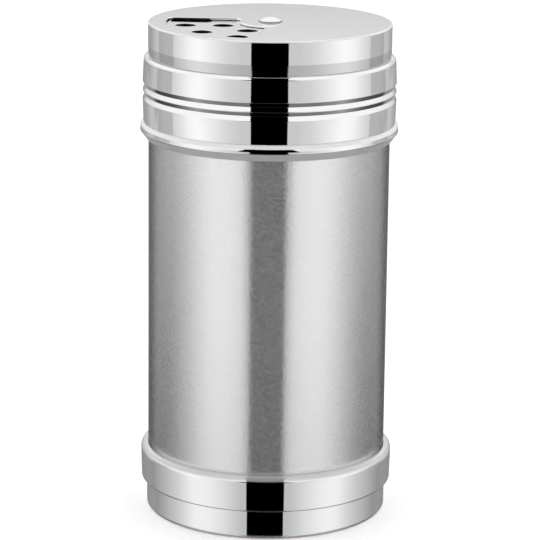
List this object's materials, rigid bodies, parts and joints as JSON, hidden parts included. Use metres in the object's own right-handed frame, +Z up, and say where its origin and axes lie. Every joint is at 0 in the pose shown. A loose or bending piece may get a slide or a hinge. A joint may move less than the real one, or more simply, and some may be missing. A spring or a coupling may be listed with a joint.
{
  "type": "seasoning shaker",
  "caption": "Round stainless steel seasoning pot: brushed tube, stepped polished base, screw lid with a rolled collar and a turning cap whose fan window opens sprinkle and pour holes.",
  "frame": {"origin": "centre of the pot's footprint, on the surface it stands on", "axes": "+Z up along the pot's axis; -Y towards the viewer of the picture, +X to the viewer's right"},
  "size_m": [0.064, 0.064, 0.1253],
  "materials": {
    "brushed_stainless": "brushed round the axis",
    "polished_stainless": "mirror polished",
    "plain_stainless": "mill finish",
    "soft_seal": "matt translucent white"
  },
  "bodies": {
    "container": {"container_tube": "brushed_stainless", "floor_pan": "plain_stainless", "base_cup": "polished_stainless", "neck_ring": "polished_stainless"},
    "seal": {"seal_ring": "soft_seal"},
    "pivot": {"pivot_rivet": "polished_stainless", "spring_washer": "plain_stainless", "rivet_washer": "plain_stainless"},
    "lid": {"lid_collar": "polished_stainless", "sieve_insert": "polished_stainless"},
    "cap": {"turning_cap": "polished_stainless"}
  },
  "joints": [
    {"name": "lid_lift", "type": "slide", "parent": "container", "child": "seal", "axis": [0, 0, 1], "range_m": [0, 0.05]},
    {"name": "lid_rise", "type": "slide", "parent": "seal", "child": "pivot", "axis": [0, 0, 1], "range_m": [0, 0.0044]},
    {"name": "lid_unscrew", "type": "hinge", "parent": "pivot", "child": "lid", "pos_m": [0, 0, 0.11], "axis": [0, 0, 1], "range_deg": [0, 720]},
    {"name": "cap_turn", "type": "hinge", "parent": "lid", "child": "cap", "pos_m": [0, 0, 0.12], "axis": [0, 0, 1], "continuous": true}
  ],
  "couplings": [
    {"joint": "lid_rise", "follows": "lid_unscrew", "m_per_rad": 0.00035}
  ]
}
